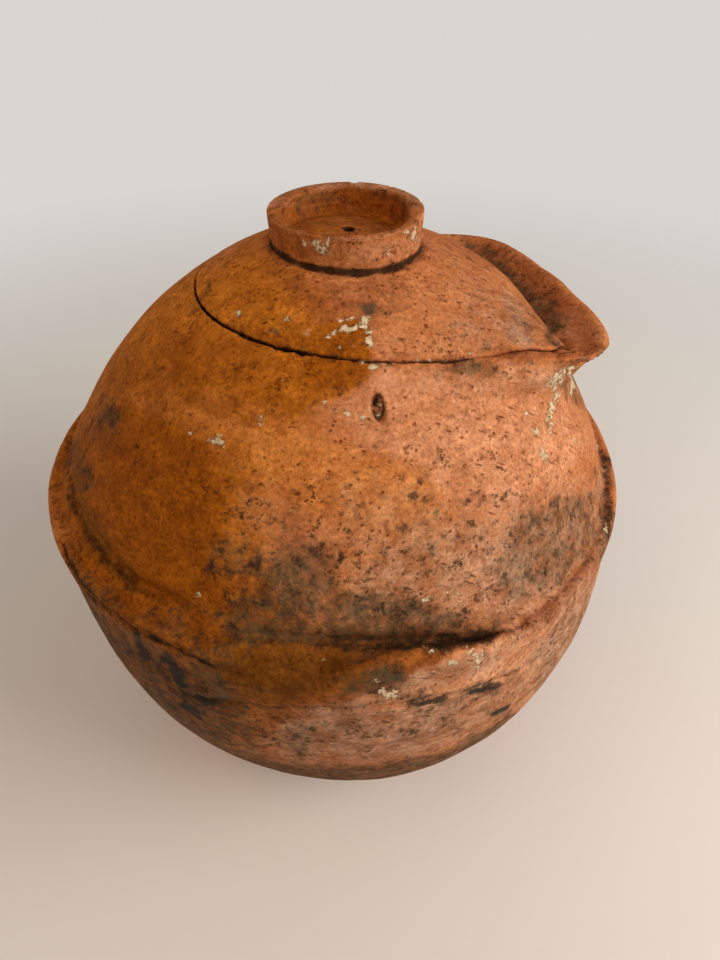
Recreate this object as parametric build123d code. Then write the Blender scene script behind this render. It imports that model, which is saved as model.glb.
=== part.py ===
from build123d import *
import math
import os

# Lidded round-bodied terracotta pot with a flush lid, a pouring lip and two grip lugs.
# Millimetres. The origin is the centre of the base on the floor, +Z is up and +X is the way it pours.

# Driving dimensions of the body
body_radius = 194.0
belly_height = 246.0
apex_height = 422.0
base_radius = 42.0
wall = 9.0
base_wall = 12.0
base_rise = 72.0

# The lower bowl and the upper dome are superellipses of revolution, with these exponents
bowl_power_share = 0.868
dome_power_share = 1.273
settle_power_share = 4.0
dome_inset = 1.0
dome_skirt = 6.0
profile_points = 9

# The flange is the coil that joins the two halves, rolled flat on top and rounded outside
flange_reach = 2.5
flange_height = 21.0
flange_edge_rise = 1.5
flange_bulge_share = 0.55
flange_crest_share = 1.5

# The mouth in plan is half an ellipse at the back and half a squared one towards the lip
mouth_offset = 18.0
mouth_back = 101.0
mouth_half_width = 93.0
mouth_front = 103.0
mouth_square_share = 5.0
mouth_points = 32

# The bevelled seat lies on a cone with its tip on the pot's axis, this far above the belly
seat_tip_rise = 9.0
seat_lift = 0.8

# The lid is flatter than the dome towards the lip, so its end stands a little proud
lid_wall = 11.0
lid_flatten_share = 0.95
lid_square_share = 3.0
lid_grid = 15

# Ring on the lid to lift it by, with a vent in its floor
ring_offset = 8.0
ring_rise = 8.7
ring_radius = 45.0
ring_foot_radius = 42.5
ring_wall = 9.0
ring_edge_round = 2.5
vent_radius = 3.2

# The pouring lip flares out from the end of the mouth and rises a little above the lid's end
lip_reach = 31.0
lip_side_reach = 9.0
lip_rise = 5.6
lip_thickness = 9.0
lip_floor_step = 5.0
lip_floor_turn_share = 1.5
lip_front_square_share = 6.0
lip_back_square_share = 3.6
lip_sink_power_share = 6.0
lip_edge_share = 0.33
lip_bow_share = 0.11
lip_sweep = 82.0
lip_steps = 10

# Grip lugs are rolls of clay pressed on over the flange
lug_centre_angle = 100.0
lug_half_angle = 27.0
lug_reach = 5.0
lug_rim_rise = 17.0
lug_shelf_rise = 14.0
lug_drop = 11.0
lug_rim_width = 8.0
lug_trough_depth = 10.0

# One overrun serves every cut
overrun = 15.0


def superellipse(angle, power):
    """Sine and cosine of an angle raised to a power, for a squarer or a fuller curve."""
    return math.sin(angle) ** power, max(math.cos(angle), 0.0) ** power


def bowl_point(angle, radius, height, settle):
    """A point of the bowl's profile, settled a little near the base to leave a flat."""
    across, down = superellipse(angle, bowl_power_share)
    share = (angle - base_angle) / (math.pi / 2 - base_angle)
    return radius * across, height * (1 - down) - settle * (1 - share) ** settle_power_share


def dome_radius(height):
    """Outer radius of the upper dome at a height."""
    rise = max(height - belly_height + dome_skirt, 0.0) / dome_rise
    up = min(rise, 1.0) ** (1 / dome_power_share)
    return dome_base_radius * math.sqrt(1 - up * up) ** dome_power_share


def dome_height(radius):
    """Outer height of the upper dome at a radius."""
    across = min(radius / dome_base_radius, 1.0) ** (1 / dome_power_share)
    up = math.sqrt(1 - across * across) ** dome_power_share
    return belly_height - dome_skirt + dome_rise * up


def bowl_radius(height):
    """Outer radius of the lower bowl at a height."""
    down = 1 - min(height / belly_height, 1.0)
    across = 1 - down ** (2 / bowl_power_share)
    return body_radius * across ** (bowl_power_share / 2)


# Values that follow from the driving dimensions
base_angle = math.asin((base_radius / body_radius) ** (1 / bowl_power_share))
base_settle = belly_height * (1 - superellipse(base_angle, bowl_power_share)[1])
dome_base_radius = body_radius - dome_inset
dome_rise = apex_height - belly_height + dome_skirt
flange_top = belly_height + flange_height
flange_radius = body_radius + flange_reach
seat_tip_height = belly_height + seat_tip_rise
ring_top_height = apex_height + ring_rise


def spline_of(points):
    """A smooth curve in the XZ plane through radius and height pairs."""
    return Spline([(radius, 0, height) for radius, height in points])


def path_of(points):
    """Straight lines in the XZ plane through radius and height pairs."""
    return Polyline([(radius, 0, height) for radius, height in points])


def spun(*edges):
    """The solid that a closed outline in the XZ plane sweeps about the Z axis."""
    return revolve(make_face(Curve() + list(edges)), Axis.Z)


def dome_profile(inset):
    """The dome's profile from its joint with the bowl up to the apex, moved in by a wall."""
    low = math.asin(min((dome_skirt / dome_rise) ** (1 / dome_power_share), 1.0))
    points = []
    for index in range(profile_points + 1):
        angle = low + (math.pi / 2 - low) * index / profile_points
        up, across = superellipse(angle, dome_power_share)
        radius = (dome_base_radius - inset) * across
        height = belly_height - dome_skirt + (dome_rise - inset) * up
        points.append((radius, height))
    points[0] = (points[0][0], belly_height)
    points[-1] = (0.0, points[-1][1])
    return points


def bowl_profile(inset, floor):
    """The bowl's profile from the edge of its flat up to its rim, moved in by a wall."""
    points = []
    for index in range(profile_points + 1):
        angle = base_angle + (math.pi / 2 - base_angle) * index / profile_points
        radius, height = bowl_point(
            angle, body_radius - inset, belly_height - floor, base_settle
        )
        points.append((radius, height + floor))
    return points


def make_bowl():
    """The moulded round base with its flat to stand on, and the wall built on it to a level rim."""
    outer = bowl_profile(0.0, 0.0)
    inner = bowl_profile(wall, base_wall)
    bowl = spun(
        path_of([inner[-1], outer[-1]]),
        spline_of(outer),
        path_of([outer[0], (0.0, 0.0), (0.0, inner[0][1]), inner[0]]),
        spline_of(inner),
    )
    low = Pos(0, 0, base_rise / 2) * Cylinder(body_radius + overrun, base_rise)
    return bowl & low, bowl - low


def full_dome(inset):
    """The dome as one solid with no hollow, down to the joint with the bowl."""
    outer = dome_profile(inset)
    return spun(
        spline_of(outer),
        path_of([outer[-1], (0.0, belly_height), outer[0]]),
    )


def full_bowl():
    """The bowl as one solid with no hollow."""
    outer = bowl_profile(0.0, 0.0)
    return spun(
        spline_of(outer),
        path_of([outer[-1], (0.0, belly_height), (0.0, 0.0), outer[0]]),
    )


def egg_reach(angle, front, half_width, square):
    """Distance in plan from the mouth's centre to an egg-shaped outline."""
    along, across = math.cos(angle), abs(math.sin(angle))
    end, power = (front, square) if along > 0 else (mouth_back, 2.0)
    return (abs(along / end) ** power + (across / half_width) ** power) ** (-1 / power)


def mouth_reach(angle):
    """Distance in plan from the mouth's centre to the seam between lid and pot."""
    return egg_reach(angle, mouth_front, mouth_half_width, mouth_square_share)


def lid_height(x, y):
    """Height of the lid's top face, which is the dome's at the back and flatter in front."""
    forward = max(x, 0.0)
    power = 2 + lid_square_share * (forward / (mouth_offset + mouth_front)) ** 2
    along = abs(x) * (lid_flatten_share if x > 0 else 1)
    radius = (along**power + abs(y) ** power) ** (1 / power)
    return dome_height(radius)


def lip_height():
    """Height of the pouring lip's rim."""
    return lid_height(mouth_offset + mouth_front, 0) + lip_rise


def seam_place(angle):
    """A point of the seam in space."""
    reach = mouth_reach(angle)
    x, y = mouth_offset + reach * math.cos(angle), reach * math.sin(angle)
    return x, y, lid_height(x, y)


def seat_outline(height):
    """The seat's cone cut level at a height, as a closed face."""
    places = []
    for index in range(mouth_points):
        x, y, z = seam_place(2 * math.pi * index / mouth_points)
        scale = (height - seat_tip_height) / (z - seat_tip_height)
        places.append((x * scale, y * scale, height))
    return make_face(Spline(places, periodic=True))


def make_seat_cone():
    """The solid cone on whose side the lid meets the mouth."""
    low = (seat_tip_height + lip_height()) / 2
    high = ring_top_height + overrun
    return loft([seat_outline(low), seat_outline(high)], ruled=True)


def section_face(centre, angle, curve, corners):
    """A closed face in the upright plane that leaves the Z line through centre at an angle."""
    east, north = math.cos(angle), math.sin(angle)

    def placed(point):
        reach, height = point
        return (centre + reach * east, reach * north, height)

    edges = [Spline([placed(point) for point in curve])]
    for start, end in zip(corners, corners[1:]):
        edges.append(Line(placed(start), placed(end)))
    return make_face(Curve() + edges)


def lip_section(angle):
    """One section of the pouring lip, from its floor at the seam over the rim to its neck."""
    square = lip_front_square_share if angle < 0 else lip_back_square_share
    sunk = lip_thickness / 2 * (angle / math.radians(lip_sweep)) ** lip_sink_power_share
    side = mouth_half_width + lip_side_reach
    seam = mouth_reach(angle)
    reach = egg_reach(angle, mouth_front + lip_reach, side, square)
    rim = lip_height() - sunk
    step = lip_floor_step * max(math.cos(angle * lip_floor_turn_share), 0.0)
    floor = seam_place(angle)[2] - sunk - step
    edge = lip_thickness * lip_edge_share
    bow = lip_thickness * lip_bow_share

    def below(distance):
        across = mouth_offset + distance * math.cos(angle)
        return dome_height(math.hypot(across, distance * math.sin(angle)))

    neck = seam + (reach - seam) / 3
    under = rim - lip_thickness
    neck_height = min(below(neck), under - bow)
    inner = seam - overrun
    low = neck_height - overrun
    curve = [
        (inner, floor - edge),
        (seam, floor),
        ((seam + reach) / 2, (floor + rim) / 2 - bow),
        (reach - edge, rim),
        (reach, (rim + under) / 2),
        (reach - edge, under),
        ((neck + reach) / 2, (under * 2 + neck_height) / 3),
        (neck, neck_height),
        (neck, neck_height - overrun / 2),
    ]
    corners = [curve[-1], (neck, low), (inner, low), curve[0]]
    return section_face(mouth_offset, angle, curve, corners)


def make_pouring_lip(envelope, seat_cone):
    """Flared collar round the end of the mouth, standing on the dome's outside."""
    sweep = math.radians(lip_sweep)
    sections = []
    for index in range(lip_steps + 1):
        sections.append(lip_section(sweep * (2 * index / lip_steps - 1)))
    return loft(sections) - envelope - seat_cone


# Stations along a lug from its back end to its lip end, in five rows of shares:
# place along the lug, rise of the shelf, rise of the rim, outward reach and downward drop
lug_place_shares = (0.0, 0.14, 0.28, 0.42, 0.56, 0.72, 0.87, 1.0)
lug_shelf_shares = (0.0, 0.45, 0.57, 0.68, 0.75, 0.57, 0.25, 0.0)
lug_rim_shares = (0.0, -0.35, -0.5, 0.25, 0.9, 1.0, 0.7, 0.0)
lug_reach_shares = (0.0, 0.4, 0.75, 0.95, 1.0, 0.95, 0.6, 0.0)
lug_drop_shares = (0.0, 1.5, 1.6, 1.25, 1.2, 1.2, 1.0, 0.0)


def flange_curve():
    """The flange's profile, from the bowl's rim round its edge to the groove at the dome."""
    edge = flange_top + flange_edge_rise
    return [
        (body_radius, belly_height),
        (flange_radius - flange_reach / 4, belly_height + flange_height / 4),
        (flange_radius, belly_height + flange_height * flange_bulge_share),
        (flange_radius - flange_reach / 2, edge - flange_edge_rise),
        (flange_radius - flange_reach * flange_crest_share, edge),
        (dome_radius(flange_top) + flange_reach / 2, flange_top - flange_edge_rise),
        (dome_radius(flange_top) - flange_reach / 4, flange_top - flange_edge_rise),
    ]


def lug_section(angle, shelf, rim, reach, drop):
    """One section of a lug, which is the flange's own profile where all shares are nought."""
    ledge = flange_curve()
    bottom = belly_height - lug_drop * drop
    outside = flange_radius + lug_reach * reach
    raised = max(rim, 0.0)
    edge = flange_top + flange_edge_rise + lug_rim_rise * rim
    joint = flange_top - flange_edge_rise + lug_shelf_rise * shelf
    joint_radius = dome_radius(joint)
    trough_radius = (joint_radius + outside) / 2 - lug_rim_width / 2 * raised
    trough = (joint + edge) / 2 - lug_trough_depth * raised
    level = bottom + (ledge[1][1] - belly_height)
    curve = [
        (bowl_radius(bottom) - flange_reach / 4 * drop, bottom),
        (outside - flange_reach / 4, level),
        (outside, (level + edge) / 2),
        (outside - flange_reach / 2, edge - flange_edge_rise),
        (outside - flange_reach * flange_crest_share, edge),
        (trough_radius, trough),
        (joint_radius - flange_reach / 4, joint),
    ]
    inner = joint_radius - wall / 2
    corners = [curve[-1], (inner, joint), (inner, bottom), curve[0]]
    return section_face(0.0, angle, curve, corners)


def make_lug(side, envelope):
    """Roll of clay over the flange, with a shelf at its back end and a raised rim in front."""
    sections = []
    stations = zip(
        lug_place_shares,
        lug_shelf_shares,
        lug_rim_shares,
        lug_reach_shares,
        lug_drop_shares,
    )
    for place, shelf, rim, reach, drop in stations:
        turn = lug_centre_angle + lug_half_angle * (1 - 2 * place)
        angle = math.radians(side * turn)
        sections.append(lug_section(angle, shelf, rim, reach, drop))
    return loft(sections) - envelope


def make_flange_arc(start, end):
    """One stretch of the flange round the outside of the joint, between two lugs."""
    curve = flange_curve()
    inner = curve[-1][0] - wall / 2
    outline = [
        spline_of(curve),
        path_of([curve[-1], (inner, curve[-1][1]), (inner, belly_height), curve[0]]),
    ]
    profile = make_face(Curve() + outline)
    ring = revolve(profile.rotate(Axis.Z, start), Axis.Z, end - start)
    return ring - full_dome(0.0)


def make_upper_dome(seat_cone):
    """The shoulder of the pot, cut open along the seat."""
    return full_dome(0.0) - full_dome(wall) - seat_cone


def lid_block(depth):
    """A block whose top is the lid's curved face, with a level-sided depth below it."""
    reach_x = mouth_offset + mouth_front + overrun
    reach_y = mouth_half_width + overrun
    rows = []
    for step_x in range(lid_grid):
        row = []
        for step_y in range(lid_grid):
            x = reach_x * (2 * step_x / (lid_grid - 1) - 1)
            y = reach_y * (2 * step_y / (lid_grid - 1) - 1)
            row.append(Vector(x, y, lid_height(x, y)))
        rows.append(row)
    top = Face.make_surface_from_array_of_points(rows)
    return Solid.extrude(top, Vector(0, 0, -depth))


def make_lid_dome(seat_cone):
    """The lid's thick curved plate, bevelled to the seat, with a vent inside its ring."""
    lid_cone = seat_cone.moved(Location((0, 0, seat_lift)))
    vent = Pos(ring_offset, 0, apex_height) * Cylinder(vent_radius, 4 * lid_wall)
    return (lid_block(lid_wall) & lid_cone) - vent


def make_grip_ring():
    """Plain ring with rounded top edges, widening upwards, standing on the lid."""
    foot = lid_height(ring_offset + ring_radius, 0) - overrun
    inner_foot = ring_foot_radius - ring_wall
    outline = [
        (inner_foot, foot),
        (ring_foot_radius, foot),
        (ring_radius, ring_top_height),
        (ring_radius - ring_wall, ring_top_height),
        (inner_foot, foot),
    ]
    ring = spun(path_of(outline))
    top = ring.edges().group_by(Axis.Z)[-1]
    rounded = fillet(top, ring_edge_round)
    return Pos(ring_offset, 0, 0) * rounded - lid_block(ring_top_height - foot)


def build_nodes():
    """Every piece of clay by its name."""
    seat_cone = make_seat_cone()
    envelope = full_dome(0.0) + full_bowl()
    round_base, bowl_wall = make_bowl()
    nodes = {
        "round_base": round_base,
        "bowl_wall": bowl_wall,
        "upper_dome": make_upper_dome(seat_cone),
        "pouring_lip": make_pouring_lip(envelope, seat_cone),
        "front_lug": make_lug(-1, envelope),
        "back_lug": make_lug(1, envelope),
    }
    near = lug_centre_angle - lug_half_angle
    far = lug_centre_angle + lug_half_angle
    nodes["flange_lip_side"] = make_flange_arc(-near, near)
    nodes["flange_far_side"] = make_flange_arc(far, 360 - far)
    nodes["lid_dome"] = make_lid_dome(seat_cone)
    nodes["lid_grip_ring"] = make_grip_ring()
    return nodes


os.makedirs("parts", exist_ok=True)
for name, shape in build_nodes().items():
    export_step(shape, f"parts/{name}.step")
    size = shape.bounding_box().size
    print(name, "solids", len(shape.solids()), f"{size.X:.1f} x {size.Y:.1f} x {size.Z:.1f}")
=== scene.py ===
# %% [markdown]
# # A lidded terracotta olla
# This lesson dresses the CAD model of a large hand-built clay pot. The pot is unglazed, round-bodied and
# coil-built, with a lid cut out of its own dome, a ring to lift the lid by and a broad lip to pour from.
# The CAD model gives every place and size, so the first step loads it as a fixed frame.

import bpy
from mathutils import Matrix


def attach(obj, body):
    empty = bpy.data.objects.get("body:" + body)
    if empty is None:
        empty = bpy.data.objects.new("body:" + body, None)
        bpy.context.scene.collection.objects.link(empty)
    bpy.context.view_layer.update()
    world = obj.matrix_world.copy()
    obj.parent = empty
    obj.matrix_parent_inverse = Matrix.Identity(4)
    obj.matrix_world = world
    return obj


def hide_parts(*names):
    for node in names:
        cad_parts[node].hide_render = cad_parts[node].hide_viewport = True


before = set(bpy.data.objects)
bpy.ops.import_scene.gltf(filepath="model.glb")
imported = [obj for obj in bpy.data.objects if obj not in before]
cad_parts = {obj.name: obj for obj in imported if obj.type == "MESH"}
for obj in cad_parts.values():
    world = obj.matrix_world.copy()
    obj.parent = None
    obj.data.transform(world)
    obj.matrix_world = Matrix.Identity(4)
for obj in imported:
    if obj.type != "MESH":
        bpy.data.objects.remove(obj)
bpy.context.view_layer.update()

# %% [markdown]
# ## Tools for the bench
# Blender works in metres, and a potter thinks in millimetres, so one name turns one into the other.
# The clay is shaped with numpy, which moves all points of a mesh at once. Blender's own noise gives the
# unevenness of a hand-made surface, and it is the same on every run.

# %% Units and imports
import math

import bmesh
import bpy
import numpy as np
from mathutils import Euler, Vector, noise
from mathutils.bvhtree import BVHTree

mm = 0.001
scene = bpy.context.scene
scene.view_settings.view_transform = "Standard"

# %% [markdown]
# ## Camera
# The photograph was taken by hand from above, about 40 degrees down, from a little over half a metre
# away. The focal length is kept in pixels of the photograph, and Blender's lens follows from it. The
# same numbers later tell where a mark in the photograph lies on the clay.

# %% Set the camera
photo_width, photo_height = 720, 960
focal_pixels = 721.0
camera_place = np.array((-91.05, -401.6, 577.4)) * mm
camera_tilt, camera_swing = math.radians(49.7), math.radians(-15.0)
camera_turn = Euler((camera_tilt, 0.0, camera_swing))
camera_data = bpy.data.cameras.new("camera")
camera_data.lens = camera_data.sensor_width * focal_pixels / photo_height
camera = bpy.data.objects.new("camera", camera_data)
camera.location = camera_place
camera.rotation_euler = camera_turn
scene.collection.objects.link(camera)
scene.camera = camera
camera_axes = np.array(camera_turn.to_matrix())
print("camera lens", round(camera_data.lens, 2), "mm")

# %% [markdown]
# ## Studio
# The pot stands on a plain pale floor that runs out of sight. A big window-like lamp at the right gives
# the soft main light, as in the photograph, and a weaker one at the left opens the shadows. The world
# adds a little light from everywhere. The floor fades out away from the pot, and behind it the camera
# sees the world as a pale wall, which adds no light to the pot.

# %% Lay the floor
floor_mesh = bpy.data.meshes.new("floor")
floor_half = 6.0
corners = [(-1, -1), (1, -1), (1, 1), (-1, 1)]
floor_mesh.from_pydata([(x * floor_half, y * floor_half, 0) for x, y in corners], [], [(0, 1, 2, 3)])
floor = bpy.data.objects.new("floor", floor_mesh)
scene.collection.objects.link(floor)
print("floor", 2 * floor_half, "m wide")

# %% [markdown]
# ## Colours
# A colour picked on a screen is in sRGB, and shaders count in linear light. One function turns
# a hex value into the linear colour, so every colour below can be read as it looks.

# %% Turn hex to linear


def colour(hex_value):
    """The linear colour of an sRGB hex value such as "#B5683C"."""
    shares = [int(hex_value[i : i + 2], 16) / 255 for i in (1, 3, 5)]
    linear = [s / 12.92 if s < 0.04045 else ((s + 0.055) / 1.055) ** 2.4 for s in shares]
    return (*linear, 1.0)


print("terracotta in linear light", [round(v, 3) for v in colour("#B5683C")])

# %% [markdown]
# ## Adding nodes
# Materials are built from nodes. One small function adds a node, sets its options, and fills its inputs
# either with a value or with another node's output, so a material reads as a list of what it is made of.

# %% Add a node


def add(tree, kind, inputs=None, **options):
    """Adds a node with its options, and fills inputs by name or number with values or outputs."""
    node = tree.nodes.new(kind)
    for name, value in options.items():
        setattr(node, name, value)
    for key, value in (inputs or {}).items():
        if isinstance(value, bpy.types.NodeSocket):
            tree.links.new(value, node.inputs[key])
        else:
            node.inputs[key].default_value = value
    return node


floor_finish = bpy.data.materials.new("pale_studio_floor")
floor_finish.use_nodes = True
floor_tree = floor_finish.node_tree
floor_shader = floor_tree.nodes["Principled BSDF"]
floor_shader.inputs["Base Color"].default_value = colour("#EBE7E2")
floor_shader.inputs["Roughness"].default_value = 0.75
clear_from, clear_to = 0.35, 1.5
floor_place = add(floor_tree, "ShaderNodeTexCoord").outputs["Object"]
from_pot = add(floor_tree, "ShaderNodeVectorMath", {0: floor_place}, operation="LENGTH")
fade = add(
    floor_tree,
    "ShaderNodeMapRange",
    {"Value": from_pot.outputs["Value"], "From Min": clear_from, "From Max": clear_to},
    interpolation_type="SMOOTHSTEP",
)
nothing = add(floor_tree, "ShaderNodeBsdfTransparent")
faded = add(
    floor_tree,
    "ShaderNodeMixShader",
    {0: fade.outputs["Result"], 1: floor_shader.outputs["BSDF"], 2: nothing.outputs["BSDF"]},
)
floor_tree.links.new(faded.outputs["Shader"], floor_tree.nodes["Material Output"].inputs["Surface"])
floor_mesh.materials.append(floor_finish)
print("the floor fades out between", clear_from, "and", clear_to, "m from the pot")

# %% [markdown]
# ## Light
# A lamp is aimed by turning its own minus Z axis to the pot. The lamps are large, so the shadows have
# soft edges, and weak, so a colour renders about as it is written.

# %% Hang the lamps
pot_middle = Vector((0, 0, 220 * mm))


def lamp(title, place, size, power, tint):
    """A square soft lamp that looks at the middle of the pot."""
    data = bpy.data.lights.new(title, "AREA")
    data.size, data.energy, data.color = size, power, colour(tint)[:3]
    made = bpy.data.objects.new(title, data)
    made.location = place
    made.rotation_euler = (pot_middle - Vector(place)).to_track_quat("-Z", "Y").to_euler()
    scene.collection.objects.link(made)
    return made


window = lamp("window", (1.3, -0.9, 1.0), size=1.1, power=25.0, tint="#FFF6EC")
opener = lamp("opener", (-1.1, -0.6, 1.8), size=1.3, power=9.0, tint="#FFD2A0")
sky = bpy.data.worlds.new("pale_room")
scene.world = sky
sky.use_nodes = True
room = sky.node_tree.nodes["Background"]
room.inputs["Color"].default_value = colour("#E9E7E4")
room.inputs["Strength"].default_value = 0.42
wall = add(sky.node_tree, "ShaderNodeBackground", {"Color": colour("#D9D5D1"), "Strength": 1.0})
seen_by = add(sky.node_tree, "ShaderNodeLightPath").outputs["Is Camera Ray"]
parted = add(
    sky.node_tree,
    "ShaderNodeMixShader",
    {0: seen_by, 1: room.outputs["Background"], 2: wall.outputs["Background"]},
)
sky.node_tree.links.new(parted.outputs["Shader"], sky.node_tree.nodes["World Output"].inputs["Surface"])
print("lamps:", window.name, opener.name)

# %% [markdown]
# ## Clay skins
# On the real pot the bowl, coil, dome, lip and lugs were luted together wet and smoothed with a finger,
# so one skin runs over all of them. A boolean union would leave hard creases. A voxel remesh instead
# wraps all the solids in one even mesh, about as a potter's finger would, and that mesh can be pressed
# and worn afterwards. The lid is a second skin, with smaller faces for its ring.

# %% Wrap the solids
pot_nodes = [
    "round_base",
    "bowl_wall",
    "upper_dome",
    "pouring_lip",
    "front_lug",
    "back_lug",
    "flange_lip_side",
    "flange_far_side",
]
lid_nodes = ["lid_dome", "lid_grip_ring"]


def clay_skin(title, node_names, voxel):
    """One even mesh round several nodes' solids."""
    gathered = bmesh.new()
    for name in node_names:
        gathered.from_mesh(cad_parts[name].data)
    rough = bpy.data.meshes.new(title)
    gathered.to_mesh(rough)
    gathered.free()
    piece = bpy.data.objects.new(title, rough)
    scene.collection.objects.link(piece)
    wrap = piece.modifiers.new("wrap", "REMESH")
    wrap.mode, wrap.voxel_size = "VOXEL", voxel
    seen = piece.evaluated_get(bpy.context.evaluated_depsgraph_get())
    piece.data = bpy.data.meshes.new_from_object(seen)
    piece.modifiers.clear()
    return piece


coarser = 1.0
pot_clay = clay_skin("pot_clay", pot_nodes, voxel=2.1 * mm * coarser)
lid_clay = clay_skin("lid_clay", lid_nodes, voxel=1.4 * mm * coarser)
print("skins:", len(pot_clay.data.vertices), "and", len(lid_clay.data.vertices), "points")

# %% [markdown]
# ## Reading and moving points
# A mesh hands over all its points as one array of numbers. The helpers below read the points, the
# directions they face and the edges between them, and write moved points back. A smooth step turns a
# distance into a share from 0 to 1, which is how most soft edges here are made.

# %% Point helpers


def points_of(piece):
    """The piece's points as an array, in metres."""
    flat = np.empty(len(piece.data.vertices) * 3)
    piece.data.vertices.foreach_get("co", flat)
    return flat.reshape(-1, 3)


def facing_of(piece):
    """The direction that each point faces."""
    flat = np.empty(len(piece.data.vertices) * 3)
    piece.data.vertex_normals.foreach_get("vector", flat)
    return flat.reshape(-1, 3)


def edges_of(piece):
    """Pairs of neighbouring points."""
    flat = np.empty(len(piece.data.edges) * 2, dtype=np.int32)
    piece.data.edges.foreach_get("vertices", flat)
    return flat.reshape(-1, 2)


def put_points(piece, points):
    """Writes moved points back to the piece."""
    piece.data.vertices.foreach_set("co", points.ravel())
    piece.data.update()


def step(value, low, high):
    """0 below low, 1 above high, and smooth between them."""
    share = np.clip((value - low) / (high - low), 0.0, 1.0)
    return share * share * (3 - 2 * share)


def bump(value, middle, half_width):
    """1 at the middle, falling smoothly to 0 at the half width."""
    return 1 - step(np.abs(value - middle), 0.0, half_width)


print("a step is", step(0.25, 0, 1), "at a quarter and", step(0.5, 0, 1), "at half of its way")


# %% [markdown]
# ## Smoothed joints
# A finger drawn along a wet joint fills its corner and leaves the rest of the clay alone. Here each point
# moves towards the middle of its neighbours, more often where two pieces meet than elsewhere. How near a
# point is to a joint is measured against the frame's own solids.

# %% Soften clay where pieces meet


def soften(piece, weights, rounds):
    """Moves points towards the middle of their neighbours, each by its own weight."""
    points, edges = points_of(piece), edges_of(piece)
    count = np.bincount(edges.ravel(), minlength=len(points))[:, None]
    for _ in range(rounds):
        total = np.zeros_like(points)
        for axis in range(3):
            total[:, axis] = np.bincount(edges[:, 0], points[edges[:, 1], axis], len(points))
            total[:, axis] += np.bincount(edges[:, 1], points[edges[:, 0], axis], len(points))
        points += (total / count - points) * weights[:, None]
    put_points(piece, points)


def surface_tree(piece):
    """A search tree of the piece's faces."""
    faces = [p.vertices for p in piece.data.polygons]
    return BVHTree.FromPolygons([Vector(p) for p in points_of(piece)], faces)


def distance_to(piece, *node_names):
    """How far each point of a piece is from the nearest of these nodes."""
    points = [Vector(p) for p in points_of(piece)]
    trees = [surface_tree(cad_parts[name]) for name in node_names]
    return np.min([[tree.find_nearest(p)[3] for p in points] for tree in trees], axis=0)


def joint_weight(piece, first, others, reach):
    """A share that is 1 on the joint between one node and others, and 0 a reach away from it."""
    apart = np.maximum(distance_to(piece, first), distance_to(piece, *others))
    return 1 - step(apart, 0.25 * reach, reach)


print("pot has", len(edges_of(pot_clay)), "edges to soften along")

# %% Smooth the joints
soften(pot_clay, 0.5 * np.ones(len(pot_clay.data.vertices)), rounds=3)
lip_joint = joint_weight(pot_clay, "pouring_lip", ["upper_dome"], 16 * mm)
lip_joint *= step(distance_to(pot_clay, "lid_dome"), 5 * mm, 12 * mm)
soften(pot_clay, 0.6 * lip_joint, rounds=60)
lug_joint = joint_weight(pot_clay, "front_lug", ["bowl_wall", "flange_lip_side", "flange_far_side"], 9 * mm)
soften(pot_clay, 0.6 * lug_joint, rounds=14)
soften(lid_clay, 0.5 * np.ones(len(lid_clay.data.vertices)), rounds=1)
ring_joint = joint_weight(lid_clay, "lid_grip_ring", ["lid_dome"], 4 * mm)
soften(lid_clay, 0.5 * ring_joint, rounds=10)
print("joints smoothed on", int((lip_joint > 0.5).sum()), "and", int((lug_joint > 0.5).sum()), "points")

# %% [markdown]
# ## The hand in the clay
# A coil-built pot is never quite round. Its belly coil dips by about a finger's half width on the lip
# side, its belly is a little fuller below that, the lid's front runs out to a blunt tip, and slow waves
# run over the whole wall where the coils were thinned. The same field of movement is applied to pot and
# lid, so the lid keeps its even gap.

# %% Dip, fullness and waves
belly_middle = np.array((0, 0, 230)) * mm


def waves(points, size, seed):
    """Smooth noise from -1 to 1 whose lumps are about a size across."""
    scaled = points / size + seed
    return np.array([noise.noise(Vector(p)) for p in scaled])


def hand_made(points):
    """Where the points of an even pot lie once a hand has built it."""
    moved = points.copy()
    turn = np.degrees(np.arctan2(points[:, 1], points[:, 0]))
    height = points[:, 2]
    across = np.hypot(points[:, 0], points[:, 1])
    out = points - belly_middle
    out /= np.linalg.norm(out, axis=1)[:, None]

    dip = step(turn, -122, -78) * (1 - step(turn, -45, 25))
    dip *= step(height, 205 * mm, 248 * mm) * (1 - step(height, 288 * mm, 330 * mm))
    moved[:, 2] -= 9 * mm * dip * step(across, 150 * mm, 175 * mm)

    full = bump(turn, -60, 65) * step(height, 8 * mm, 90 * mm) * (1 - step(height, 170 * mm, 235 * mm))
    slim = bump(turn, -20, 60) * bump(height, 262 * mm, 40 * mm)
    swell = 4.5 * mm * full - 2.5 * mm * slim

    tip = bump(points[:, 0], 104 * mm, 34 * mm) * bump(points[:, 1], 0, 62 * mm)
    moved[:, 0] += 8 * mm * tip * step(height, 330 * mm, 350 * mm)

    steady = step(height, 4 * mm, 40 * mm)
    for depth, size, seed in ((1.3, 80, 3.1), (0.5, 30, 7.7), (0.2, 11, 1.9)):
        swell += depth * mm * steady * waves(points, size * mm, seed)
    return moved + out * swell[:, None]


for piece in (pot_clay, lid_clay):
    put_points(piece, hand_made(points_of(piece)))
print("wall waves up to about 2 mm")

# %% [markdown]
# ## The grip ring
# The ring is a strip of clay set upright on the lid. Its outer edge is crisp, its rim slopes inwards
# where the hand takes it from the front, and small chips are out of it. At its foot a stick was run
# round to press it down, which left a sharp channel that later filled with soot.

# %% Shape the ring
ring_middle, ring_top = np.array((8, 0)) * mm, 430.7 * mm
ring_radius, channel_radius = 45 * mm, 44.4 * mm


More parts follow.
